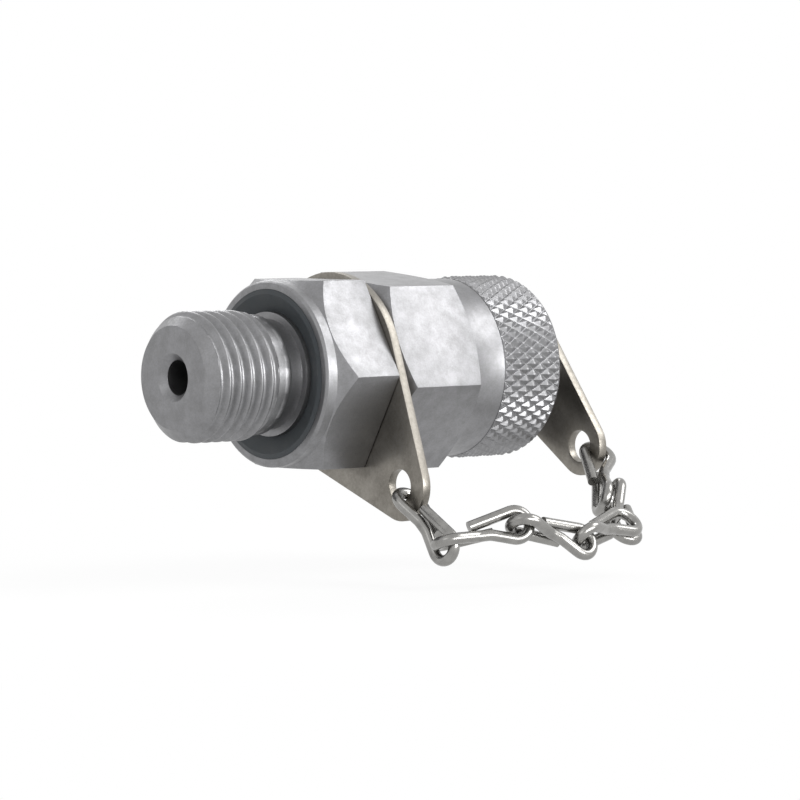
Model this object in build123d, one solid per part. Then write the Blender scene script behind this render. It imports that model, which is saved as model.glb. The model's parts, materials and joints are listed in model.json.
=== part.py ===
from build123d import *
import os
from math import cos, pi, radians, sin, sqrt, tan

# Hydraulic test point coupling: a G 1/4 stud with a captive soft seal, a spring-closed
# check valve, an M16 x 2 test port, and a screw cap held on a knotted chain.
# Everything is turned about the X axis. The origin is the centre of the collar's
# sealing face, +X runs from the stud to the cap, and +Z is up. Millimetres.

os.makedirs("parts", exist_ok=True)

# ---- clearances -------------------------------------------------------------
running_gap = 0.05        # radial, between turned pieces that move on each other
seat_gap = 0.05           # between faces that bear on each other
fixed_gap = 0.02          # radial, round a piece that is pressed or snapped in

# ---- port stud, G 1/4 A, with the collar that holds the soft seal -------------
stud_thread_d = 13.157
stud_length = 12.0
stud_nose_chamfer = 1.4
undercut_d = 11.2
undercut_length = 2.4
bore_d = 3.5
countersink_d = 4.9
collar_d = 18.9
collar_length = 1.3
collar_edge = 0.25
seal_groove_d = 17.2
seal_groove_root_d = 12.6
seal_groove_depth = 1.5
seal_lip = 0.25
seal_dish = 0.55

# ---- wrench hexagon of the body -----------------------------------------------
hex_across_flats = 19.0
body_hex_end = 8.2
hex_chamfer_angle = 45.0

# ---- test port, M16 x 2 ----------------------------------------------------------
port_thread_d = 15.9
thread_lead = 2.0
port_end = 24.0
port_chamfer = 1.0
port_relief_d = 13.4
port_relief_length = 1.5
tab_land_d = 16.2
tab_land_length = 1.15

# ---- check valve in the body --------------------------------------------------------
chamber_d = 8.4
chamber_start = 1.5
insert_start = 15.5
insert_d = 11.0
insert_length = 6.9
guide_bore_d = 3.6
guide_length = 3.4
socket_d = 7.0
probe_groove_d = 9.8
probe_groove_width = 1.8
probe_groove_from_front = 0.5
probe_seal_section = 1.6
insert_groove_d = 9.1
insert_groove_width = 1.4
insert_groove_start = 0.9
snap_ring_width = 0.9
snap_ring_inner_d = 9.8
snap_ring_outer_d = 12.0
snap_ring_opening = 2.0
poppet_head_length = 3.2
poppet_spigot_d = 3.6
poppet_spigot_length = 2.3
poppet_stem_length = 3.9
poppet_flat_depth = 0.9
stem_slot_width = 0.8
stem_slot_depth = 0.5
poppet_seal_outer_d = 6.8
poppet_seal_depth = 0.8
spring_wire_d = 0.8
spring_coil_d = 5.6
spring_turns = 4.0
spring_wire_sides = 6

# ---- protective cap ---------------------------------------------------------------------
cap_start = 9.7
cap_hex_length = 10.5
cap_band_d = 18.6
cap_knurl_start = 24.0
cap_knurl_d = 19.1
cap_end = 31.9
cap_edge = 0.4
cap_boss_d = 8.0
cap_boss_length = 3.25
cap_hex_turn = 6.75
cap_mouth_chamfer = 0.5
cap_mouth_d = 17.2
cap_unscrew_turns = 4
cap_floor = 25.0
cap_recess_d = 7.8
cap_recess_end = 28.0
cap_seal_thickness = 0.9
cap_seal_inner_d = 9.0

# ---- swivel pin that carries the cap's chain tab ---------------------------------------
pin_d = 4.0
pin_inner_head_d = 6.8
pin_inner_head_length = 1.4
pin_outer_head_d = 6.0
pin_outer_head_length = 0.8
pin_washer_thickness = 0.5

# ---- chain tabs, one blank shape pressed from sheet in two sizes ---------------------------
tab_thickness = 1.0
eyelet_d = 3.3
body_tab_ring_d = 20.4
body_tab_reach = 15.5
body_tab_tip_d = 7.2
body_tab_angle = 44.5
cap_tab_ring_d = 10.0
cap_tab_reach = 12.0
cap_tab_tip_d = 6.2
cap_tab_angle = 46.0

# ---- knotted chain: each link is one wire bent to two loops at right angles -----------------
chain_wire_d = 1.15
chain_wire_sides = 8
chain_bend_steps = 4
link_length = 10.95
loop_width = 4.95
loop_corner_r = 1.35
waist_corner_r = 2.0
waist_offset = 0.3
waist_half_length = 0.7
leg_offset = 0.95
leg_overlap = 1.3
# where each link hangs at rest: its first tip, then its heading from +X towards +Y,
# its rise, and its twist about its own length
link_places = (
    (8.5, -10.9, -11.8, -93, -37, 178),
    (6.7, -18.3, -16.3, -23, 10, 68),
    (13.6, -22.1, -14.2, -9, -18, 63),
    (21.2, -23.4, -16.2, 12, 6, 40),
    (29.3, -21.4, -16.8, 52, 27, 324),
    (31.5, -16.2, -13.9, 50, 33, 52),
)

# ---- places worked out from the sizes above -------------------------------------------------
nose = -stud_length
hex_corner_r = hex_across_flats / sqrt(3)
tab_land_end = body_hex_end + tab_land_length
port_relief_end = tab_land_end + port_relief_length
insert_end = insert_start + insert_length
snap_ring_start = insert_end + seat_gap
snap_ring_end = snap_ring_start + snap_ring_width
poppet_face = insert_start - seat_gap
poppet_back = poppet_face - poppet_head_length
cap_hex_end = cap_start + cap_hex_length
cap_thread_start = port_end - port_chamfer - cap_unscrew_turns * thread_lead
cap_boss_end = cap_end + cap_boss_length
body_tab_front = body_hex_end + seat_gap
cap_tab_front = cap_boss_end + seat_gap
cap_tab_back = cap_tab_front + tab_thickness
washer_start = cap_tab_back + seat_gap
pin_head_start = washer_start + pin_washer_thickness


def turned(*outline):
    """A solid of revolution about X from (station, radius) points."""
    points = [(x, 0, r) for x, r in outline]
    return revolve(make_face(Polyline(*points, close=True)), Axis.X)


def ring_x(inner_d, outer_d, start, end):
    a, b = inner_d / 2, outer_d / 2
    return turned((start, a), (end, a), (end, b), (start, b))


def hex_bar(start, end, turn):
    """A hexagonal bar along X; at turn 0 two of its flats are level."""
    corner = Plane((start, 0, 0), x_dir=(0, 1, 0), z_dir=(1, 0, 0))
    profile = corner * RegularPolygon(hex_corner_r, 6, rotation=turn)
    return extrude(profile, end - start)


def o_ring(inner_r, outer_r, station):
    """A round seal as it sits when squeezed between two walls."""
    half = (outer_r - inner_r) / 2
    corner = half * 0.4
    return turned(
        (station - half, inner_r + corner),
        (station - half + corner, inner_r),
        (station + half - corner, inner_r),
        (station + half, inner_r + corner),
        (station + half, outer_r - corner),
        (station + half - corner, outer_r),
        (station - half + corner, outer_r),
        (station - half, outer_r - corner),
    )


def chamfer_run(small_r, large_r, angle):
    """Axial length of a cone between two radii, angle measured from the axis."""
    return (large_r - small_r) / tan(radians(angle))


def body_outline():
    """Outer solid of the stud body: stud, collar, hexagon, tab land and port thread."""
    stud_r, under_r, collar_r = stud_thread_d / 2, undercut_d / 2, collar_d / 2
    run = chamfer_run(collar_r, hex_corner_r, hex_chamfer_angle)
    stud = turned(
        (nose, 0),
        (nose, stud_r - stud_nose_chamfer),
        (nose + stud_nose_chamfer, stud_r),
        (-undercut_length, stud_r),
        (-undercut_length + (stud_r - under_r), under_r),
        (collar_length, under_r),
        (collar_length, 0),
    )
    wrench = turned(
        (0, 0),
        (0, collar_r - collar_edge),
        (collar_edge, collar_r),
        (collar_length, collar_r),
        (collar_length + run, hex_corner_r),
        (body_hex_end, hex_corner_r),
        (body_hex_end, 0),
    )
    port = turned(
        (body_hex_end - 1, 0),
        (body_hex_end - 1, tab_land_d / 2),
        (tab_land_end, tab_land_d / 2),
        (tab_land_end, port_relief_d / 2),
        (port_relief_end, port_relief_d / 2),
        (port_relief_end + (port_thread_d - port_relief_d) / 2, port_thread_d / 2),
        (port_end - port_chamfer, port_thread_d / 2),
        (port_end, port_thread_d / 2 - port_chamfer),
        (port_end, 0),
    )
    return stud + (wrench & hex_bar(0, body_hex_end, 0)) + port


def seal_groove():
    root_r, outer_r = seal_groove_root_d / 2, seal_groove_d / 2
    return turned(
        (-seal_lip, root_r),
        (seal_groove_depth, root_r),
        (seal_groove_depth, outer_r),
        (-seal_lip, outer_r),
    )


def valve_cavity():
    """Everything bored out of the body along its axis."""
    bore_r, sink_r = bore_d / 2, countersink_d / 2
    snap_r = snap_ring_outer_d / 2 + fixed_gap
    return turned(
        (nose, 0),
        (nose, sink_r),
        (nose + sink_r - bore_r, bore_r),
        (chamber_start, bore_r),
        (chamber_start, chamber_d / 2),
        (insert_start, chamber_d / 2),
        (insert_start, insert_d / 2),
        (snap_ring_start, insert_d / 2),
        (snap_ring_start, snap_r),
        (snap_ring_end + fixed_gap, snap_r),
        (snap_ring_end + fixed_gap, insert_d / 2),
        (port_end, insert_d / 2),
        (port_end, 0),
    )


def stud_body():
    return body_outline() - seal_groove() - valve_cavity()


def port_seal_ring():
    """Soft sealing ring, dished towards the thread, in the collar's groove."""
    inner_r = seal_groove_root_d / 2 + fixed_gap
    outer_r = seal_groove_d / 2 - fixed_gap
    lip_r = outer_r - 0.5
    return turned(
        (seal_dish, inner_r),
        (seal_groove_depth, inner_r),
        (seal_groove_depth, outer_r),
        (0, outer_r),
        (-seal_lip / 2, lip_r),
    )


def probe_guide():
    """Insert that guides the valve stem and receives the hose's probe."""
    outer_r = insert_d / 2 - fixed_gap
    socket_start = insert_start + guide_length
    groove_end = insert_end - probe_groove_from_front
    groove_start = groove_end - probe_groove_width
    insert = turned(
        (insert_start, guide_bore_d / 2),
        (socket_start, guide_bore_d / 2),
        (socket_start, socket_d / 2),
        (groove_start, socket_d / 2),
        (groove_start, probe_groove_d / 2),
        (groove_end, probe_groove_d / 2),
        (groove_end, socket_d / 2),
        (insert_end, socket_d / 2),
        (insert_end, outer_r),
        (insert_start, outer_r),
    )
    outer_groove_start = insert_start + insert_groove_start
    outer_groove_end = outer_groove_start + insert_groove_width
    return insert - ring_x(insert_groove_d, insert_d, outer_groove_start, outer_groove_end)


def probe_seal_ring():
    outer_r = probe_groove_d / 2 - fixed_gap
    station = insert_end - probe_groove_from_front - probe_groove_width / 2
    return o_ring(outer_r - probe_seal_section, outer_r, station)


def guide_seal_ring():
    inner_r = insert_groove_d / 2 + fixed_gap
    station = insert_start + insert_groove_start + insert_groove_width / 2
    return o_ring(inner_r, insert_d / 2 - fixed_gap, station)


def snap_ring():
    """Open retaining ring in front of the probe guide."""
    ring = ring_x(snap_ring_inner_d, snap_ring_outer_d, snap_ring_start, snap_ring_end)
    gap = Pos(snap_ring_start, 0, -insert_d / 2) * Box(4 * snap_ring_width, snap_ring_opening, 4)
    return ring - gap


def valve_poppet():
    """Sliding valve cone with three flats for the oil and a slotted stem."""
    head_r = chamber_d / 2 - running_gap
    stem_r = guide_bore_d / 2 - running_gap
    stem_end = poppet_face + poppet_stem_length
    seal_r = poppet_seal_outer_d / 2 + fixed_gap
    seal_back = poppet_face - poppet_seal_depth
    poppet = turned(
        (poppet_back - poppet_spigot_length, 0),
        (poppet_back - poppet_spigot_length, poppet_spigot_d / 2),
        (poppet_back, poppet_spigot_d / 2),
        (poppet_back, head_r),
        (seal_back, head_r),
        (poppet_face - seat_gap, seal_r + 0.2),
        (poppet_face - seat_gap, seal_r),
        (seal_back, seal_r),
        (seal_back, stem_r),
        (stem_end, stem_r),
        (stem_end, 0),
    )
    head_middle = (poppet_back + poppet_face) / 2
    for k in range(3):
        flat = Pos(head_middle, 0, head_r) * Box(
            poppet_head_length + 0.2, 2 * head_r, 2 * poppet_flat_depth
        )
        poppet -= Rot(X=120 * k) * flat
        slot = Pos(seal_back + poppet_stem_length, 0, stem_r) * Box(
            2 * poppet_stem_length, stem_slot_width, 2 * stem_slot_depth
        )
        poppet -= Rot(X=120 * k + 60) * slot
    return poppet


def poppet_seal():
    inner_r = guide_bore_d / 2
    return turned(
        (poppet_face - poppet_seal_depth, inner_r),
        (poppet_face, inner_r),
        (poppet_face, poppet_seal_outer_d / 2 - 0.15),
        (poppet_face - 0.15, poppet_seal_outer_d / 2),
        (poppet_face - poppet_seal_depth, poppet_seal_outer_d / 2),
    )


def valve_spring():
    """Compression spring between the chamber's floor and the poppet."""
    wire_r = spring_wire_d / 2
    start = chamber_start + wire_r + seat_gap
    end = poppet_back - wire_r - seat_gap
    pitch = (end - start) / spring_turns
    coil_r = spring_coil_d / 2
    path = Helix(pitch, end - start, coil_r, center=(start, 0, 0), direction=(1, 0, 0))
    section = Plane(path @ 0, z_dir=path % 0) * RegularPolygon(wire_r, spring_wire_sides)
    return sweep(section, path, is_frenet=True)


def protective_cap():
    """One-piece screw cap: hexagon, plain band, knurled band and rear boss."""
    band_r, knurl_r, boss_r = cap_band_d / 2, cap_knurl_d / 2, cap_boss_d / 2
    run = chamfer_run(band_r, hex_corner_r, 60)
    hexagon = turned(
        (cap_start, 0),
        (cap_start, band_r),
        (cap_start + run, hex_corner_r),
        (cap_hex_end - run, hex_corner_r),
        (cap_hex_end, band_r),
        (cap_hex_end, 0),
    )
    grip = turned(
        (cap_start + 1, 0),
        (cap_start + 1, band_r),
        (cap_knurl_start, band_r),
        (cap_knurl_start, knurl_r - cap_edge / 2),
        (cap_knurl_start + cap_edge / 2, knurl_r),
        (cap_end - cap_edge, knurl_r),
        (cap_end, knurl_r - cap_edge),
        (cap_end, boss_r),
        (cap_boss_end, boss_r),
        (cap_boss_end, 0),
    )
    thread_r = port_thread_d / 2 + running_gap
    mouth_r = cap_mouth_d / 2
    cavity = turned(
        (cap_start, 0),
        (cap_start, mouth_r + cap_mouth_chamfer),
        (cap_start + cap_mouth_chamfer, mouth_r),
        (cap_thread_start - (mouth_r - thread_r), mouth_r),
        (cap_thread_start, thread_r),
        (cap_floor, thread_r),
        (cap_floor, cap_recess_d / 2),
        (cap_recess_end, cap_recess_d / 2),
        (cap_recess_end, pin_d / 2 + running_gap),
        (cap_boss_end, pin_d / 2 + running_gap),
        (cap_boss_end, 0),
    )
    outer = (hexagon & hex_bar(cap_start, cap_hex_end, cap_hex_turn)) + grip
    return outer - cavity


def cap_seal():
    """Flat gasket on the cap's floor, against the end of the test port."""
    outer_d = port_thread_d - 2 * fixed_gap
    return ring_x(cap_seal_inner_d, outer_d, cap_floor - cap_seal_thickness, cap_floor)


def swivel_pin():
    """Headed pin that turns in the cap's end, with its outer end riveted over."""
    inner_head_end = cap_recess_end - seat_gap
    head_end = pin_head_start + pin_outer_head_length
    return turned(
        (inner_head_end - pin_inner_head_length, 0),
        (inner_head_end - pin_inner_head_length, pin_inner_head_d / 2),
        (inner_head_end, pin_inner_head_d / 2),
        (inner_head_end, pin_d / 2),
        (pin_head_start, pin_d / 2),
        (pin_head_start, pin_outer_head_d / 2),
        (pin_head_start + pin_outer_head_length / 2, pin_outer_head_d / 2),
        (head_end, pin_d / 2),
        (head_end, 0),
    )


def pin_washer():
    inner_d = pin_d + 2 * fixed_gap
    return ring_x(inner_d, pin_outer_head_d + 0.6, washer_start, pin_head_start)


def chain_tab(front, hole_d, ring_d, reach, tip_d, angle):
    """Teardrop tab pressed from sheet: a ring and an eyelet at its narrow end."""
    outline = make_hull(
        (Circle(ring_d / 2).edges() + (Pos(0, -reach) * Circle(tip_d / 2)).edges())
    )
    holes = Circle(hole_d / 2) + Pos(0, -reach) * Circle(eyelet_d / 2)
    plate = Plane((front, 0, 0), x_dir=(0, 1, 0), z_dir=(1, 0, 0))
    blank = extrude(plate * (outline - holes), tab_thickness)
    return Rot(X=-angle) * blank


def link_axis(heading, rise):
    """Unit vector along a link, from its heading and rise in degrees."""
    a, b = radians(heading), radians(rise)
    return Vector(cos(b) * cos(a), cos(b) * sin(a), sin(b))


def link_plane(start, heading, rise, twist):
    """Plane at the link's middle: x along the link, y across its first loop."""
    along = link_axis(heading, rise)
    level = (Vector(0, 1, 0) - along * along.Y).normalized()
    side = level.cross(along)
    t = radians(twist)
    across = side * cos(t) + level * sin(t)
    middle = start + along * ((link_length - chain_wire_d) / 2)
    return Plane(middle, x_dir=along, z_dir=along.cross(across))


def bent_wire(points, corners):
    """A wire along straight runs whose corners are bent in a few short steps."""
    smooth = FilletPolyline(*points, radius=corners)
    route = []
    for edge in smooth.edges():
        steps = chain_bend_steps if edge.geom_type == GeomType.CIRCLE else 1
        route += [edge @ (k / steps) for k in range(steps)]
    path = Polyline(*route, smooth @ 1)
    section = Plane(path @ 0, z_dir=path % 0) * RegularPolygon(chain_wire_d / 2, chain_wire_sides)
    return sweep(section, path, transition=Transition.RIGHT)


def chain_link(plane):
    """One wire: a loop, a straight waist, a second loop turned a quarter turn."""
    end = (link_length - chain_wire_d) / 2
    half = (loop_width - chain_wire_d) / 2
    points = (
        (leg_overlap, leg_offset, 0),
        (-end, half, 0),
        (-end, -half, 0),
        (-waist_half_length, -waist_offset, -waist_offset * 0.6),
        (waist_half_length, -waist_offset * 0.6, -waist_offset),
        (end, 0, -half),
        (end, 0, half),
        (-leg_overlap, 0, leg_offset),
    )
    corners = (loop_corner_r, loop_corner_r, waist_corner_r,
               waist_corner_r, loop_corner_r, loop_corner_r)
    return plane.location * bent_wire(points, corners)


def write(name, solid):
    solid.label = name
    export_step(solid, f"parts/{name}.step")


def main():
    write("stud_body", stud_body())
    write("port_seal_ring", port_seal_ring())
    write("probe_guide", probe_guide())
    write("probe_seal_ring", probe_seal_ring())
    write("guide_seal_ring", guide_seal_ring())
    write("snap_ring", snap_ring())
    write("valve_poppet", valve_poppet())
    write("poppet_seal", poppet_seal())
    write("valve_spring", valve_spring())
    write("protective_cap", protective_cap())
    write("cap_seal", cap_seal())
    write("swivel_pin", swivel_pin())
    write("pin_washer", pin_washer())
    body_tab_hole_d = tab_land_d + 3 * running_gap
    write("body_chain_tab", chain_tab(body_tab_front, body_tab_hole_d, body_tab_ring_d,
                                      body_tab_reach, body_tab_tip_d, body_tab_angle))
    write("cap_chain_tab", chain_tab(cap_tab_front, pin_d + 3 * running_gap, cap_tab_ring_d,
                                     cap_tab_reach, cap_tab_tip_d, cap_tab_angle))
    for k, (x, y, z, heading, rise, twist) in enumerate(link_places):
        plane = link_plane(Vector(x, y, z), heading, rise, twist)
        write(f"chain_link_{k + 1}", chain_link(plane))


main()
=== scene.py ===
"""Hydraulic test point coupling: the visible pieces, their finishes and the stage.

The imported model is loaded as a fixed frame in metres: +X runs from the port stud to the
cap, +Z is up, and the origin is the centre of the collar's sealing face.
"""

import json
import math

import bmesh
import bpy
from bpy.props import FloatProperty, FloatVectorProperty, IntProperty, PointerProperty
from mathutils import Matrix, Vector


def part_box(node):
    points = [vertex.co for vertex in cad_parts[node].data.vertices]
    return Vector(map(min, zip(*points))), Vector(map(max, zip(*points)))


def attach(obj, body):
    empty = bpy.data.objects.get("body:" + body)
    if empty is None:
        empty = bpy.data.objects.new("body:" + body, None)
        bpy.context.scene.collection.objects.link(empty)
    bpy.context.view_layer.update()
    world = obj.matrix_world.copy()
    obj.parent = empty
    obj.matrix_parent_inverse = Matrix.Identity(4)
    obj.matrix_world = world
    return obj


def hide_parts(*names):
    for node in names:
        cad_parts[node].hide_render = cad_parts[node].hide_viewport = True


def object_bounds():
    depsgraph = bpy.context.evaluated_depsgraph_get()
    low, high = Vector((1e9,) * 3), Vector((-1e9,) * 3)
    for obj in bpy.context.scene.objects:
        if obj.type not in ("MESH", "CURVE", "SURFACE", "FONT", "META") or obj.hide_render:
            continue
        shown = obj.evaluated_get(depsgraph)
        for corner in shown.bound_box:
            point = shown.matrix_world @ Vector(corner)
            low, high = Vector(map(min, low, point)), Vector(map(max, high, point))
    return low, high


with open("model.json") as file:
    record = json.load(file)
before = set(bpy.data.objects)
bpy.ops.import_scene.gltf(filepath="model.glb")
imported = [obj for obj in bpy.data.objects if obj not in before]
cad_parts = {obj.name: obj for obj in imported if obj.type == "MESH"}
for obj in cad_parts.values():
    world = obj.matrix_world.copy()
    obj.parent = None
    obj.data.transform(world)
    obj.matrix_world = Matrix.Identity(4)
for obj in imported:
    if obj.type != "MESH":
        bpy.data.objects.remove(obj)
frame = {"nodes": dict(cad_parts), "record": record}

bl_info = {
    "name": "Test Point Coupling",
    "version": (1, 0, 0),
    "blender": (4, 5, 0),
    "location": "3D View > Sidebar > Coupling",
    "description": "Builds the visible pieces of a hydraulic test point coupling",
    "category": "Add Mesh",
}

MM = 0.001
CAD_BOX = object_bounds()
LOWEST = CAD_BOX[0][2]
STUD_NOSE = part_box("stud_body")[0].x
PORT_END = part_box("stud_body")[1].x

# stations along X on the fitting: where the stud's thread ends, where its thin core ends
# in the undercut, and where the core of the test port starts
STUD_THREAD_END = -3.1 * MM
STUD_CORE_END = -2.4 * MM
PORT_CORE_START = 10.9 * MM
# takes in the corners that lie right on a station
TOUCH = 0.01 * MM

# place of each link at rest, mm: its first tip, then its heading from +X towards +Y,
# its rise and its twist about its own length, in degrees
LINK_PLACES = (
    (8.5, -10.9, -11.8, -93, -37, 178),
    (6.7, -18.3, -16.3, -23, 10, 68),
    (13.6, -22.1, -14.2, -9, -18, 63),
    (21.2, -23.4, -16.2, 12, 6, 40),
    (29.3, -21.4, -16.8, 52, 27, 324),
    (31.5, -16.2, -13.9, 50, 33, 52),
)
# corners of a link's wire, mm: a loop across Y, a waist, and a loop across Z
LINK_HALF = 4.9
LOOP_HALF = 1.9
LINK_PATH = (
    (1.3, 0.95, 0), (-LINK_HALF, LOOP_HALF, 0), (-LINK_HALF, -LOOP_HALF, 0),
    (-0.7, -0.3, -0.18), (0.7, -0.18, -0.3),
    (LINK_HALF, 0, -LOOP_HALF), (LINK_HALF, 0, LOOP_HALF), (-1.3, 0, 0.95),
)

# the camera: its place in mm, its heading from +Y towards +X and its tilt in degrees
CAMERA_PLACE = (-246.5, -304.6, 18.4)
CAMERA_HEADING = 40.94
CAMERA_TILT = -3.07
# each lamp: its name, its place, its width and height in mm, and its watts
LAMPS = (
    ("key", (330, -230, 330), 260, 260, 1.2),
    ("left", (-420, -120, 260), 200, 200, 0.1),
    ("fill", (60, -420, 60), 420, 120, 1.8),
    ("back", (120, 330, 300), 240, 120, 0.6),
)


# ---- sizes and colours -------------------------------------------------------------------


def linear(hex_value, alpha=1.0):
    """An sRGB hex value as the linear colour that a socket takes."""
    channels = [int(hex_value[i:i + 2], 16) / 255 for i in (1, 3, 5)]
    return tuple(c / 12.92 if c <= 0.04045 else ((c + 0.055) / 1.055) ** 2.4
                 for c in channels) + (alpha,)


def millimetres(name, description, default):
    """A length, given in mm and kept in metres, that the panel shows in scene units."""
    return FloatProperty(name=name, description=description, default=default * MM,
                         unit="LENGTH", precision=5)


def finish_colour(name, description, hex_value):
    """A colour, given as sRGB hex and kept linear."""
    return FloatVectorProperty(name=name, description=description, subtype="COLOR", size=4,
                               min=0.0, max=1.0, default=linear(hex_value))


class CouplingSizes(bpy.types.PropertyGroup):
    """Lengths that set the threads, knurl, chain and edges."""
    stud_pitch: millimetres("Stud pitch", "Pitch of the port stud's thread", 1.337)
    stud_radius: millimetres("Stud radius", "Crest radius of the stud's thread", 6.5785)
    stud_depth: millimetres("Stud thread depth", "Depth of the stud's thread", 0.62)
    stud_groove: millimetres("Stud groove", "Station of a groove on the -Y side", -10.54)
    port_pitch: millimetres("Port pitch", "Pitch of the test port's thread", 2.0)
    port_radius: millimetres("Port radius", "Crest radius of the port's thread", 7.95)
    port_depth: millimetres("Port thread depth", "Depth of the port's thread", 1.15)
    knurl_start: millimetres("Knurl start", "Front edge of the knurled band", 24.0)
    knurl_end: millimetres("Knurl end", "Rear edge of the knurled band", 31.9)
    knurl_radius: millimetres("Knurl radius", "Radius over the knurl's points", 9.55)
    knurl_depth: millimetres("Knurl depth", "Height of the knurl's points", 0.34)
    knurl_length: millimetres("Knurl point length", "Length of one point along the axis", 2.0)
    knurl_count: IntProperty(name="Knurl points", description="Points round the band",
                             default=52)
    edge: millimetres("Edge", "Broken edge of the turned pieces", 0.07)
    tab_edge: millimetres("Tab edge", "Rounded edge of the pressed tabs", 0.10)
    wire_radius: millimetres("Wire radius", "Radius of the chain's wire", 0.575)
    wire_bend: millimetres("Wire bend", "Centre line's bend radius in a link", 1.85)


class CouplingColours(bpy.types.PropertyGroup):
    """Colours of the finishes and of the floor."""
    zinc: finish_colour("Zinc", "Zinc plating on the turned pieces", "#8E8E90")
    zinc_dull: finish_colour("Dull zinc", "Darker patches in the plating", "#808081")
    tab: finish_colour("Tab", "Plated sheet of the chain tabs", "#949089")
    tab_dull: finish_colour("Dull tab", "Darker patches on the tabs", "#7C7871")
    pin: finish_colour("Pin", "Turned steel of the pin and inner pieces", "#8E8E8B")
    pin_dull: finish_colour("Dull pin", "Darker patches on the pin", "#7E7E7C")
    spring: finish_colour("Spring", "Drawn steel of the valve's spring", "#77777A")
    spring_dull: finish_colour("Dull spring", "Darker patches on the spring", "#66666A")
    wire: finish_colour("Wire", "Nickel plating on the chain", "#A5A4A1")
    wire_dull: finish_colour("Dull wire", "Dulled spots on the chain", "#787775")
    rubber: finish_colour("Rubber", "Black sealing rubber", "#24282B")
    bloom: finish_colour("Bloom", "Pale bloom on the rubber", "#3C4246")
    floor: finish_colour("Floor", "Matt floor under the coupling", "#F4F4F4")


def sizes():
    return bpy.context.scene.coupling_sizes


def colours():
    return bpy.context.scene.coupling_colours


# ---- meshes ------------------------------------------------------------------------------


def link_object(name, mesh):
    obj = bpy.data.objects.new(name, mesh)
    bpy.context.scene.collection.objects.link(obj)
    return obj


def finish_piece(obj, body, material, smooth_angle=32):
    """Shade a made piece, give it its finish and let it move with its body."""
    mesh = obj.data
    mesh.materials.clear()
    mesh.materials.append(material)
    for face in mesh.polygons:
        face.material_index = 0
    mesh.shade_smooth()
    mesh.set_sharp_from_angle(angle=math.radians(smooth_angle))
    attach(obj, body)


def cad_copy(node_name):
    """A CAD node's mesh as a bmesh with its loose triangles joined to flat faces."""
    shape = bmesh.new()
    shape.from_mesh(frame["nodes"][node_name].data)
    bmesh.ops.remove_doubles(shape, verts=shape.verts, dist=0.0005 * MM)
    bmesh.ops.dissolve_degenerate(shape, edges=shape.edges, dist=0.0002 * MM)
    bmesh.ops.dissolve_limit(shape, angle_limit=math.radians(0.5), verts=shape.verts,
                             edges=shape.edges)
    return shape


def break_edges(shape, width, angle=24):
    """Round every edge sharper than an angle, as a finished part has them."""
    sharp = [e for e in shape.edges
             if len(e.link_faces) == 2 and e.calc_face_angle(0) > math.radians(angle)]
    bmesh.ops.bevel(shape, geom=sharp, offset=width, segments=2, profile=0.6,
                    affect="EDGES", clamp_overlap=True)


def squeeze(shape, start, end, radius):
    """Draw in what lies beyond a radius between two stations along X."""
    for vert in shape.verts:
        reach = math.hypot(vert.co.y, vert.co.z)
        if start <= vert.co.x <= end and reach > radius:
            vert.co.y *= radius / reach
            vert.co.z *= radius / reach


def replace_node(shape, name, node_name):
    """Turn a finished bmesh into the object that stands for a CAD node."""
    mesh = bpy.data.meshes.new(name)
    bmesh.ops.triangulate(shape, faces=[f for f in shape.faces if len(f.verts) > 4])
    shape.to_mesh(mesh)
    shape.free()
    obj = link_object(name, mesh)
    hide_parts(node_name)
    return obj


# ---- node trees --------------------------------------------------------------------------


MATH = "ShaderNodeMath"
NOISE = "ShaderNodeTexNoise"
MAP_RANGE = "ShaderNodeMapRange"


def add(tree, kind, links=(), **settings):
    """Add a node. Its settings come first, then its sockets, by name or in order: each
    is linked from a socket or from a node's first output, or takes a plain value."""
    made = tree.nodes.new(kind)
    for key, value in settings.items():
        setattr(made, key, value)
    feeds = links if isinstance(links, dict) else dict(enumerate(links))
    for key, value in feeds.items():
        if isinstance(value, bpy.types.Node):
            value = value.outputs[0]
        if isinstance(value, bpy.types.NodeSocket):
            tree.links.new(value, made.inputs[key])
        else:
            made.inputs[key].default_value = value
    return made


def new_tree(name, inputs):
    """A geometry tree with named inputs; returns it with its input sockets."""
    tree = bpy.data.node_groups.new(name, "GeometryNodeTree")
    for label, kind, default in inputs:
        socket = tree.interface.new_socket(label, in_out="INPUT", socket_type=kind)
        if default is not None:
            socket.default_value = default
    tree.interface.new_socket("Geometry", in_out="OUTPUT", socket_type="NodeSocketGeometry")
    return tree, add(tree, "NodeGroupInput").outputs


def close_tree(tree, size, geometry):
    """End a tree in plain faces that carry their material."""
    real = add(tree, "GeometryNodeRealizeInstances", {"Geometry": geometry})
    finish = add(tree, "GeometryNodeSetMaterial",
                 {"Geometry": real, "Material": size["Material"]})
    add(tree, "NodeGroupOutput", {"Geometry": finish})


def run_tree(name, tree, values, base=None):
    """Evaluate a tree on an object, and return a plain object with the result."""
    carrier = link_object(name + "_carrier", base or bpy.data.meshes.new(name))
    modifier = carrier.modifiers.new(name, "NODES")
    modifier.node_group = tree
    for item in tree.interface.items_tree:
        if item.in_out == "INPUT" and item.name in values:
            modifier[item.identifier] = values[item.name]
    carrier.update_tag()
    graph = bpy.context.evaluated_depsgraph_get()
    mesh = bpy.data.meshes.new_from_object(carrier.evaluated_get(graph))
    carrier.modifiers.remove(modifier)
    bpy.data.objects.remove(carrier)
    mesh.name = name
    return link_object(name, mesh)


# ---- threads and knurl: sleeves with a relief --------------------------------------------


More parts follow.
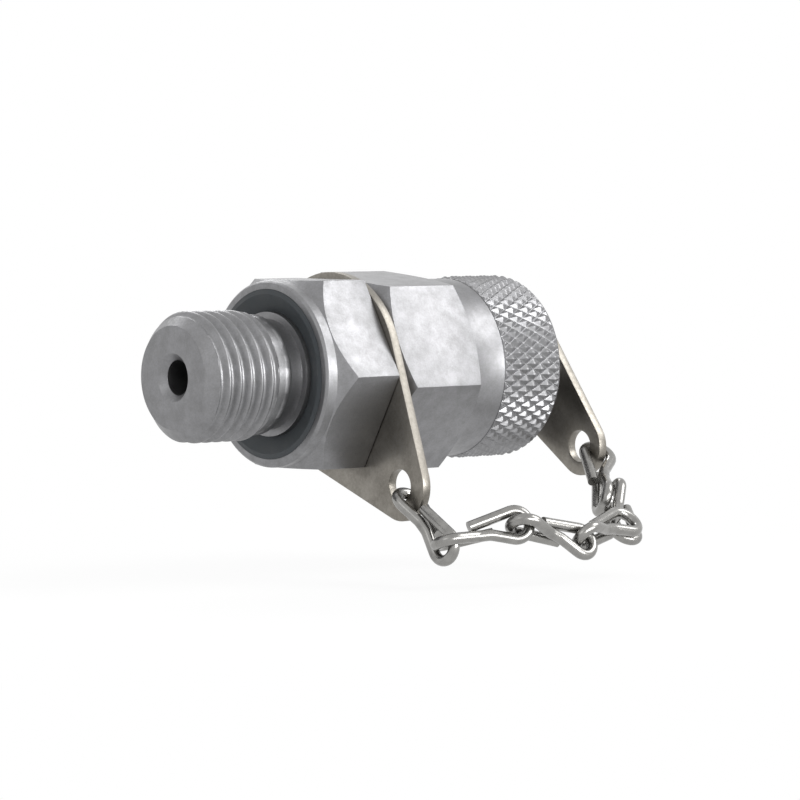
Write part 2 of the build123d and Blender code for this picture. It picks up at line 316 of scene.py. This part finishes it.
SLEEVE_INPUTS = (
    ("Start", "NodeSocketFloat", 0.0), ("End", "NodeSocketFloat", 0.01),
    ("Radius", "NodeSocketFloat", 0.01), ("Depth", "NodeSocketFloat", 0.001),
    ("Pitch", "NodeSocketFloat", 0.001), ("Phase", "NodeSocketFloat", 0.0),
    ("Inner Radius", "NodeSocketFloat", 0.005), ("Front Cone", "NodeSocketFloat", 0.0),
    ("Rear Cone", "NodeSocketFloat", 0.0), ("Count", "NodeSocketInt", 1),
    ("Rows", "NodeSocketInt", 100), ("Columns", "NodeSocketInt", 100),
    ("Material", "NodeSocketMaterial", None),
)
# the inner wall is this much shorter than the sleeve at each end
WALL_INSET = 0.06 * MM


def grid_place(tree, size):
    """The row that a grid point lies in, and its share of a turn round the axis."""
    index = add(tree, "GeometryNodeInputIndex")
    middle = add(tree, MATH, (index, 0.5), operation="ADD")
    ratio = add(tree, MATH, (middle, size["Columns"]), operation="DIVIDE")
    row = add(tree, MATH, (ratio,), operation="FLOOR")
    passed = add(tree, MATH, (row, size["Columns"]), operation="MULTIPLY")
    column = add(tree, MATH, (index, passed), operation="SUBTRACT")
    gaps = add(tree, MATH, (size["Columns"], 1), operation="SUBTRACT")
    return row, add(tree, MATH, (column, gaps), operation="DIVIDE")


def wall_rows(tree, size, row):
    """1 on the inner wall's rows: the first and last lie at the sleeve's start, and the
    last but one at its end."""
    before_one = add(tree, MATH, (size["Rows"], 1.5), operation="SUBTRACT")
    before_two = add(tree, MATH, (size["Rows"], 2.5), operation="SUBTRACT")
    first = add(tree, MATH, (row, 0.5), operation="LESS_THAN")
    last = add(tree, MATH, (row, before_one), operation="GREATER_THAN")
    last_two = add(tree, MATH, (row, before_two), operation="GREATER_THAN")
    not_last = add(tree, MATH, (1.0, last), operation="SUBTRACT")
    at_start = add(tree, MATH, (first, last), operation="MAXIMUM")
    return at_start, add(tree, MATH, (not_last, last_two), operation="MULTIPLY")


def outer_radius(tree, size, depth_share, along, length):
    """The crest less the relief, cut down by a cone at each end."""
    depth = add(tree, MATH, (size["Depth"], depth_share), operation="MULTIPLY")
    crest = add(tree, MATH, (size["Radius"], depth), operation="SUBTRACT")
    nose = add(tree, MATH, (size["Radius"], size["Front Cone"]), operation="SUBTRACT")
    front = add(tree, MATH, (nose, along), operation="ADD")
    tail = add(tree, MATH, (size["Radius"], size["Rear Cone"]), operation="SUBTRACT")
    from_end = add(tree, MATH, (length, along), operation="SUBTRACT")
    rear = add(tree, MATH, (tail, from_end), operation="ADD")
    cones = add(tree, MATH, (front, rear), operation="MINIMUM")
    return add(tree, MATH, (crest, cones), operation="MINIMUM")


def sleeve_tree(name, relief):
    """A closed sleeve about X. relief(tree, size, station, turn) gives 0 at the crest
    and 1 at the bottom."""
    tree, size = new_tree(name, SLEEVE_INPUTS)
    grid = add(tree, "GeometryNodeMeshGrid",
               {"Vertices X": size["Rows"], "Vertices Y": size["Columns"]})
    row, turn = grid_place(tree, size)
    # all rows but the three of the inner wall are spread from start to end
    length = add(tree, MATH, (size["End"], size["Start"]), operation="SUBTRACT")
    gaps = add(tree, MATH, (size["Rows"], 4), operation="SUBTRACT")
    step = add(tree, MATH, (length, gaps), operation="DIVIDE")
    steps = add(tree, MATH, (row, 1), operation="SUBTRACT")
    along = add(tree, MATH, (step, steps), operation="MULTIPLY")
    station = add(tree, MATH, (size["Start"], along), operation="ADD")
    outer = outer_radius(tree, size, relief(tree, size, station, turn), along, length)

    at_start, at_end = wall_rows(tree, size, row)
    on_wall = add(tree, MATH, (at_start, at_end), operation="MAXIMUM")
    on_relief = add(tree, MATH, (1.0, on_wall), operation="SUBTRACT")
    wall_start = add(tree, MATH, (size["Start"], WALL_INSET), operation="ADD")
    wall_end = add(tree, MATH, (size["End"], WALL_INSET), operation="SUBTRACT")
    x_relief = add(tree, MATH, (station, on_relief), operation="MULTIPLY")
    x_start = add(tree, MATH, (wall_start, at_start), operation="MULTIPLY")
    x_end = add(tree, MATH, (wall_end, at_end), operation="MULTIPLY")
    x_wall = add(tree, MATH, (x_start, x_end), operation="ADD")
    r_relief = add(tree, MATH, (outer, on_relief), operation="MULTIPLY")
    r_wall = add(tree, MATH, (size["Inner Radius"], on_wall), operation="MULTIPLY")
    radius = add(tree, MATH, (r_relief, r_wall), operation="ADD")

    angle = add(tree, MATH, (turn, 2 * math.pi), operation="MULTIPLY")
    cosine = add(tree, MATH, (angle,), operation="COSINE")
    sine = add(tree, MATH, (angle,), operation="SINE")
    place = add(tree, "ShaderNodeCombineXYZ", {
        "X": add(tree, MATH, (x_relief, x_wall), operation="ADD"),
        "Y": add(tree, MATH, (radius, cosine), operation="MULTIPLY"),
        "Z": add(tree, MATH, (radius, sine), operation="MULTIPLY")})
    moved = add(tree, "GeometryNodeSetPosition", {"Geometry": grid, "Position": place})
    merged = add(tree, "GeometryNodeMergeByDistance",
                 {"Geometry": moved, "Distance": 0.0002 * MM})
    close_tree(tree, size, merged)
    return tree


def wave(tree, number):
    """A triangle wave: 0 at whole numbers and 1 half way between them."""
    part = add(tree, MATH, (number,), operation="FRACT")
    double = add(tree, MATH, (part, 2.0), operation="MULTIPLY")
    centred = add(tree, MATH, (double, 1.0), operation="SUBTRACT")
    fall = add(tree, MATH, (centred,), operation="ABSOLUTE")
    return add(tree, MATH, (1.0, fall), operation="SUBTRACT")


def pitches(tree, size, station):
    """How many pitches a station lies from the phase."""
    offset = add(tree, MATH, (station, size["Phase"]), operation="SUBTRACT")
    return add(tree, MATH, (offset, size["Pitch"]), operation="DIVIDE")


def thread_relief(tree, size, station, turn):
    """One right-hand groove with a narrow flat crest and a rounded root."""
    helix = add(tree, MATH, (pitches(tree, size, station), turn), operation="SUBTRACT")
    # whole turns keep the wave's number positive, and the half puts a groove at the
    # phase on the +Y side
    lifted = add(tree, MATH, (helix, 100.5), operation="ADD")
    return add(tree, MAP_RANGE,
               {"Value": wave(tree, lifted), "From Min": 0.02, "From Max": 0.92},
               interpolation_type="SMOOTHSTEP")


def knurl_relief(tree, size, station, turn):
    """Crossed grooves that leave rows of four-sided points."""
    around = add(tree, MATH, (turn, size["Count"]), operation="MULTIPLY")
    along = pitches(tree, size, station)
    grooves = []
    for direction in ("ADD", "SUBTRACT"):
        helix = add(tree, MATH, (around, along), operation=direction)
        lifted = add(tree, MATH, (helix, 100.0), operation="ADD")
        grooves.append(wave(tree, lifted))
    point = add(tree, MATH, grooves, operation="MINIMUM")
    # the points' tips are a little blunt
    steep = add(tree, MATH, (point, 1.15), operation="MULTIPLY")
    blunt = add(tree, MATH, (1.0, steep), operation="MINIMUM")
    return add(tree, MATH, (1.0, blunt), operation="SUBTRACT")


# ---- chain wire --------------------------------------------------------------------------


def wire_tree():
    """A round wire along a cornered path whose bends all have one radius."""
    tree, size = new_tree("bent_wire", (
        ("Geometry", "NodeSocketGeometry", None), ("Wire Radius", "NodeSocketFloat", 0.001),
        ("Bend Radius", "NodeSocketFloat", 0.001), ("Sides", "NodeSocketInt", 24),
        ("Material", "NodeSocketMaterial", None)))
    path = add(tree, "GeometryNodeMeshToCurve", {"Mesh": size["Geometry"]})
    bent = add(tree, "GeometryNodeFilletCurve",
               {"Curve": path, "Radius": size["Bend Radius"], "Count": 10,
                "Limit Radius": True}, mode="POLY")
    section = add(tree, "GeometryNodeCurvePrimitiveCircle",
                  {"Resolution": size["Sides"], "Radius": size["Wire Radius"]})
    wire = add(tree, "GeometryNodeCurveToMesh",
               {"Curve": bent, "Profile Curve": section, "Fill Caps": True})
    close_tree(tree, size, wire)
    return tree


def link_stand(x, y, z, heading, rise, twist):
    """Where a link's own axes lie: X along it and Y across its first loop."""
    heading, rise, twist = math.radians(heading), math.radians(rise), math.radians(twist)
    along = Vector((math.cos(rise) * math.cos(heading), math.cos(rise) * math.sin(heading),
                    math.sin(rise)))
    level = (Vector((0, 1, 0)) - along * along.y).normalized()
    across = level.cross(along) * math.cos(twist) + level * math.sin(twist)
    middle = Vector((x, y, z)) + along * LINK_HALF
    turn = Matrix((along, across, along.cross(across))).transposed()
    return Matrix.Translation(middle * MM) @ turn.to_4x4()


# ---- materials ---------------------------------------------------------------------------


def new_material(name):
    """An empty material; returns it with its tree and the place on the piece."""
    material = bpy.data.materials.new(name)
    material.use_nodes = True
    tree = material.node_tree
    tree.nodes.clear()
    return material, tree, add(tree, "ShaderNodeTexCoord").outputs["Object"]


def close_material(tree, surface):
    """End a material in one Principled shader."""
    shader = add(tree, "ShaderNodeBsdfPrincipled", surface)
    add(tree, "ShaderNodeOutputMaterial", {"Surface": shader})


def turning_marks(tree, position, pitch):
    """Fine rings round X, on cylinders and on end faces alike, about a pitch apart."""
    x, y, z = add(tree, "ShaderNodeSeparateXYZ", (position,)).outputs
    y_square = add(tree, MATH, (y, y), operation="MULTIPLY")
    z_square = add(tree, MATH, (z, z), operation="MULTIPLY")
    square = add(tree, MATH, (y_square, z_square), operation="ADD")
    reach = add(tree, MATH, (square,), operation="SQRT")
    travel = add(tree, MATH, (x, reach), operation="ADD")
    feed = add(tree, MATH, (travel, pitch), operation="DIVIDE")
    return add(tree, NOISE, {"W": feed, "Scale": 1.0, "Detail": 1.0}, noise_dimensions="1D")


def steel(name, bright, dull, roughness, patch, grain, grain_height, ring_pitch=0.0,
          ring_height=0.0):
    """Satin steel, clouded in soft patches over a fine grain, all sized in mm. Where it
    was turned, the tool's rings lie over the grain."""
    material, tree, position = new_material(name)
    clouds = add(tree, NOISE, {"Vector": position, "Scale": 1 / (patch * MM),
                               "Detail": 5.0, "Roughness": 0.62})
    speckle = add(tree, NOISE, {"Vector": position, "Scale": 1 / (grain * MM),
                                "Detail": 3.0, "Roughness": 0.7})
    cloud_part = add(tree, MATH, (clouds, 0.6), operation="MULTIPLY")
    speckle_part = add(tree, MATH, (speckle, 0.4), operation="MULTIPLY")
    blend = add(tree, MATH, (cloud_part, speckle_part), operation="ADD")
    tint = add(tree, "ShaderNodeValToRGB", (blend,))
    for stop, place, colour in zip(tint.color_ramp.elements, (0.38, 0.62), (dull, bright)):
        stop.position = place
        stop.color = colour
    # the dull patches are a little rougher than the bright ones
    rough = add(tree, MAP_RANGE, {"Value": blend, "From Min": 0.3, "From Max": 0.7,
                                  "To Min": roughness + 0.07, "To Max": roughness - 0.06})
    relief = add(tree, "ShaderNodeBump", {"Height": speckle, "Strength": 1.0,
                                          "Distance": grain_height * MM})
    if ring_height:
        relief = add(tree, "ShaderNodeBump", {
            "Height": turning_marks(tree, position, ring_pitch * MM), "Strength": 1.0,
            "Distance": ring_height * MM, "Normal": relief})
    close_material(tree, {"Base Color": tint, "Metallic": 1.0, "Roughness": rough,
                          "Normal": relief})


def nickel_wire():
    """Nickel-plated drawn wire: bright, with dulled spots and faint drawing marks."""
    material, tree, position = new_material("nickel_plated_wire")
    spots = add(tree, NOISE, {"Vector": position, "Scale": 1 / (0.9 * MM), "Detail": 3.0})
    # real drawing marks are finer, so these are as coarse as they need to be to show
    marks = add(tree, NOISE, {"Vector": position, "Scale": 1 / (0.25 * MM), "Detail": 2.0})
    # a Mix node has its two colours at inputs 6 and 7, and its blend at output 2
    tint = add(tree, "ShaderNodeMix", {0: spots, 6: colours().wire, 7: colours().wire_dull},
               data_type="RGBA")
    rough = add(tree, MAP_RANGE, {"Value": spots, "From Min": 0.35, "From Max": 0.7,
                                  "To Min": 0.2, "To Max": 0.32})
    relief = add(tree, "ShaderNodeBump", {"Height": marks, "Strength": 1.0,
                                          "Distance": 0.004 * MM})
    close_material(tree, {"Base Color": tint.outputs[2], "Metallic": 1.0,
                          "Roughness": rough, "Normal": relief})


def nitrile_rubber():
    """Moulded nitrile rubber: near black and matt, with a faint bloom over a fine grain."""
    material, tree, position = new_material("moulded_nitrile_rubber")
    bloom = add(tree, NOISE, {"Vector": position, "Scale": 1 / (1.6 * MM), "Detail": 4.0})
    # a mould's real grain is finer, so this is as coarse as it needs to be to show
    grain = add(tree, NOISE, {"Vector": position, "Scale": 1 / (0.12 * MM)})
    tint = add(tree, "ShaderNodeMix", {0: bloom, 6: colours().rubber, 7: colours().bloom},
               data_type="RGBA")
    rough = add(tree, MAP_RANGE, {"Value": bloom, "From Min": 0.3, "From Max": 0.7,
                                  "To Min": 0.42, "To Max": 0.6})
    relief = add(tree, "ShaderNodeBump", {"Height": grain, "Strength": 1.0,
                                          "Distance": 0.006 * MM})
    close_material(tree, {"Base Color": tint.outputs[2], "Roughness": rough,
                          "Normal": relief})


def finishes():
    """Every finish, made at the first call and then found by name."""
    if "zinc_plated_turned_steel" in bpy.data.materials:
        return bpy.data.materials
    shade = colours()
    # turned bar under zinc: satin grey with soft clouds and rings. The plating's crystals
    # and the tool's feed are finer, and are drawn at 0.2 and 0.1 mm so that they show
    steel("zinc_plated_turned_steel", shade.zinc, shade.zinc_dull, 0.42, patch=1.4,
          grain=0.20, grain_height=0.006, ring_pitch=0.10, ring_height=0.0025)
    # blanked sheet under zinc: warmer, smoother and in broader patches, with no rings
    steel("zinc_plated_pressed_steel", shade.tab, shade.tab_dull, 0.38, patch=3.0,
          grain=0.35, grain_height=0.004)
    # bare turned steel of the pin and inner pieces: plain grey with clearer rings
    steel("bright_turned_steel", shade.pin, shade.pin_dull, 0.38, patch=2.0, grain=0.3,
          grain_height=0.003, ring_pitch=0.12, ring_height=0.005)
    # drawn spring wire: darker, even and nearly smooth
    steel("drawn_spring_steel", shade.spring, shade.spring_dull, 0.34, patch=1.0,
          grain=0.2, grain_height=0.002)
    nickel_wire()
    nitrile_rubber()
    return bpy.data.materials


# ---- operators ---------------------------------------------------------------------------


class COUPLING_OT_fitting(bpy.types.Operator):
    """Stud body with its broken edges, port stud thread and test port thread"""
    bl_idname = "coupling.fitting"
    bl_label = "Fitting body"

    def execute(self, context):
        size = sizes()
        zinc = finishes()["zinc_plated_turned_steel"]
        # the body is drawn in to just under the grooves that the sleeves cut
        stud_core = size.stud_radius - size.stud_depth - 0.03 * MM
        port_core = size.port_radius - size.port_depth - 0.05 * MM
        shape = cad_copy("stud_body")
        squeeze(shape, STUD_NOSE - TOUCH, STUD_CORE_END + TOUCH, stud_core)
        squeeze(shape, PORT_CORE_START, PORT_END + TOUCH, port_core)
        break_edges(shape, size.edge)
        body = replace_node(shape, "fitting_body", "stud_body")
        finish_piece(body, "fitting", zinc)

        tree = sleeve_tree("thread", thread_relief)
        stud = run_tree("port_stud_thread", tree, {
            "Start": STUD_NOSE, "End": STUD_THREAD_END, "Radius": size.stud_radius,
            "Depth": size.stud_depth, "Pitch": size.stud_pitch,
            "Phase": size.stud_groove + 0.5 * size.stud_pitch, "Inner Radius": 4.9 * MM,
            "Front Cone": 1.4 * MM, "Rear Cone": 0.75 * MM, "Rows": 160, "Columns": 181,
            "Material": zinc})
        finish_piece(stud, "fitting", zinc)
        # the port's thread starts a little in front of its core, so no slit is left
        lap = 0.05 * MM
        port = run_tree("test_port_thread", tree, {
            "Start": PORT_CORE_START - lap, "End": PORT_END, "Radius": size.port_radius,
            "Depth": size.port_depth, "Pitch": size.port_pitch, "Phase": 0.0,
            "Inner Radius": 6.2 * MM, "Front Cone": 1.2 * MM, "Rear Cone": 1.0 * MM,
            "Rows": 150, "Columns": 145, "Material": zinc})
        finish_piece(port, "fitting", zinc)
        return {"FINISHED"}


class COUPLING_OT_cap(bpy.types.Operator):
    """Protective cap with its broken edges and knurled band"""
    bl_idname = "coupling.cap"
    bl_label = "Protective cap"

    def execute(self, context):
        size = sizes()
        zinc = finishes()["zinc_plated_turned_steel"]
        # the band is drawn in to just under the knurl, behind a thin lip at its front
        knurl_core = size.knurl_radius - size.knurl_depth - 0.02 * MM
        lip = 0.05 * MM
        shape = cad_copy("protective_cap")
        squeeze(shape, size.knurl_start + lip, size.knurl_end + TOUCH, knurl_core)
        break_edges(shape, size.edge)
        cap = replace_node(shape, "cap_shell", "protective_cap")
        finish_piece(cap, "cap", zinc)

        columns_per_point = 10
        knurl = run_tree("cap_knurl", sleeve_tree("knurl", knurl_relief), {
            "Start": size.knurl_start, "End": size.knurl_end, "Radius": size.knurl_radius,
            "Depth": size.knurl_depth, "Pitch": size.knurl_length, "Phase": 0.0,
            "Inner Radius": 8.4 * MM, "Front Cone": 0.45 * MM, "Rear Cone": 0.5 * MM,
            "Count": size.knurl_count, "Rows": 84,
            "Columns": size.knurl_count * columns_per_point + 1, "Material": zinc})
        finish_piece(knurl, "cap", zinc, smooth_angle=20)
        return {"FINISHED"}


class COUPLING_OT_tabs(bpy.types.Operator):
    """The two pressed chain tabs with their rounded edges"""
    bl_idname = "coupling.tabs"
    bl_label = "Chain tabs"

    def execute(self, context):
        sheet = finishes()["zinc_plated_pressed_steel"]
        for node_name, body in (("body_chain_tab", "body_tab"), ("cap_chain_tab", "cap_tab")):
            shape = cad_copy(node_name)
            break_edges(shape, sizes().tab_edge, angle=50)
            tab = replace_node(shape, node_name + "_sheet", node_name)
            finish_piece(tab, body, sheet)
        return {"FINISHED"}


class COUPLING_OT_chain(bpy.types.Operator):
    """The six knotted links of the chain, each one bent wire"""
    bl_idname = "coupling.chain"
    bl_label = "Chain links"

    def execute(self, context):
        size = sizes()
        nickel = finishes()["nickel_plated_wire"]
        tree = wire_tree()
        for k, place in enumerate(LINK_PLACES, start=1):
            stand = link_stand(*place)
            corners = [stand @ (Vector(corner) * MM) for corner in LINK_PATH]
            path = bpy.data.meshes.new(f"link_{k}_path")
            path.from_pydata(corners, [(i, i + 1) for i in range(len(corners) - 1)], [])
            link = run_tree(f"link_{k}_wire", tree, {
                "Wire Radius": size.wire_radius, "Bend Radius": size.wire_bend,
                "Sides": 24, "Material": nickel}, base=path)
            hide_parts(f"chain_link_{k}")
            finish_piece(link, f"link_{k}", nickel, smooth_angle=40)
        return {"FINISHED"}


class COUPLING_OT_finish(bpy.types.Operator):
    """Finishes of the pieces that keep their own solids"""
    bl_idname = "coupling.finish"
    bl_label = "Other finishes"

    def execute(self, context):
        made = finishes()
        slots = {"zinc_steel": "zinc_plated_turned_steel",
                 "pressed_steel": "zinc_plated_pressed_steel",
                 "turned_steel": "bright_turned_steel", "spring_steel": "drawn_spring_steel",
                 "bright_wire": "nickel_plated_wire", "black_rubber": "moulded_nitrile_rubber"}
        for part in frame["record"]["subparts"]:
            obj = frame["nodes"][part["node"]]
            for place in obj.material_slots:
                place.material = made[slots[part["material_slot"]]]
        return {"FINISHED"}


class COUPLING_OT_stage(bpy.types.Operator):
    """White floor and backdrop, soft studio lamps and the camera"""
    bl_idname = "coupling.stage"
    bl_label = "Stage"

    def execute(self, context):
        scene = context.scene
        scene.view_settings.view_transform = "Standard"
        self.make_camera(scene)
        self.make_floor()
        self.make_world(scene)
        self.make_lamps(scene)
        return {"FINISHED"}

    def make_camera(self, scene):
        data = bpy.data.cameras.new("camera")
        data.sensor_width = 36.0
        data.lens = 175.0
        data.clip_start = 0.01
        data.clip_end = 20.0
        camera = bpy.data.objects.new("camera", data)
        scene.collection.objects.link(camera)
        heading, tilt = math.radians(CAMERA_HEADING), math.radians(CAMERA_TILT)
        forward = Vector((math.sin(heading) * math.cos(tilt),
                          math.cos(heading) * math.cos(tilt), math.sin(tilt)))
        camera.rotation_euler = forward.to_track_quat("-Z", "Y").to_euler()
        camera.location = Vector(CAMERA_PLACE) * MM
        scene.camera = camera

    def seen_directly(self, tree):
        """1 on camera, glossy and transmission rays, which see the plain white."""
        path = add(tree, "ShaderNodeLightPath").outputs
        bounced = add(tree, MATH, (path["Is Glossy Ray"], path["Is Transmission Ray"]),
                      operation="MAXIMUM")
        return add(tree, MATH, (path["Is Camera Ray"], bounced), operation="MAXIMUM")

    def make_floor(self):
        """A wide floor that looks white and keeps a soft shadow under the coupling."""
        half, level = 1.5, LOWEST - 2 * MM
        mesh = bpy.data.meshes.new("floor")
        mesh.from_pydata([(-half, -half, level), (half, -half, level), (half, half, level),
                          (-half, half, level)], [], [(0, 1, 2, 3)])
        material, tree, position = new_material("matt_white_floor")
        surface = add(tree, "ShaderNodeBsdfPrincipled",
                      {"Base Color": colours().floor, "Roughness": 0.9})
        white = add(tree, "ShaderNodeEmission", {"Color": linear("#FFFFFF"),
                                                 "Strength": 1.0})
        reach = add(tree, "ShaderNodeVectorMath", (position,), operation="LENGTH")
        # the share of white grows outwards, so the floor fades into the backdrop
        share = add(tree, MAP_RANGE,
                    {"Value": reach.outputs["Value"], "From Min": 30 * MM,
                     "From Max": 90 * MM, "To Min": 0.9, "To Max": 1.0},
                    interpolation_type="SMOOTHSTEP")
        part = add(tree, MATH, (self.seen_directly(tree), share), operation="MULTIPLY")
        mix = add(tree, "ShaderNodeMixShader", (part, surface, white))
        add(tree, "ShaderNodeOutputMaterial", {"Surface": mix})
        mesh.materials.append(material)
        link_object("floor", mesh)

    def make_world(self, scene):
        """Soft light on the coupling from all round, and a backdrop of plain white."""
        world = bpy.data.worlds.new("studio")
        world.use_nodes = True
        scene.world = world
        tree = world.node_tree
        tree.nodes.clear()
        soft = add(tree, "ShaderNodeBackground", {"Color": linear("#FFFFFF"),
                                                  "Strength": 0.55})
        white = add(tree, "ShaderNodeBackground", {"Color": linear("#FFFFFF"),
                                                   "Strength": 1.0})
        mix = add(tree, "ShaderNodeMixShader", (self.seen_directly(tree), soft, white))
        add(tree, "ShaderNodeOutputWorld", {"Surface": mix})

    def make_lamps(self, scene):
        target = Vector((10, 0, 0)) * MM
        for name, place, width, height, watts in LAMPS:
            data = bpy.data.lights.new(name, "AREA")
            data.shape = "RECTANGLE"
            data.size = width * MM
            data.size_y = height * MM
            data.energy = watts
            lamp = bpy.data.objects.new(name, data)
            lamp.location = Vector(place) * MM
            lamp.rotation_euler = (target - lamp.location).to_track_quat("-Z", "Y").to_euler()
            scene.collection.objects.link(lamp)


class COUPLING_PT_panel(bpy.types.Panel):
    """Steps that build the coupling, in order"""
    bl_label = "Test Point Coupling"
    bl_idname = "COUPLING_PT_panel"
    bl_space_type = "VIEW_3D"
    bl_region_type = "UI"
    bl_category = "Coupling"

    def draw(self, context):
        for group in ("coupling_sizes", "coupling_colours"):
            settings = getattr(context.scene, group)
            box = self.layout.box()
            for key in settings.__annotations__:
                box.prop(settings, key)
        for step in STEPS:
            self.layout.operator(step.bl_idname)


STEPS = (COUPLING_OT_stage, COUPLING_OT_finish, COUPLING_OT_fitting, COUPLING_OT_cap,
         COUPLING_OT_tabs, COUPLING_OT_chain)
CLASSES = (CouplingSizes, CouplingColours, *STEPS, COUPLING_PT_panel)


def register():
    for cls in CLASSES:
        bpy.utils.register_class(cls)
    bpy.types.Scene.coupling_sizes = PointerProperty(type=CouplingSizes)
    bpy.types.Scene.coupling_colours = PointerProperty(type=CouplingColours)


def unregister():
    del bpy.types.Scene.coupling_sizes
    del bpy.types.Scene.coupling_colours
    for cls in reversed(CLASSES):
        bpy.utils.unregister_class(cls)


def main():
    register()
    bpy.ops.coupling.stage()
    bpy.ops.coupling.finish()
    bpy.ops.coupling.fitting()
    bpy.ops.coupling.cap()
    bpy.ops.coupling.tabs()
    bpy.ops.coupling.chain()


if __name__ == "__main__":
    main()
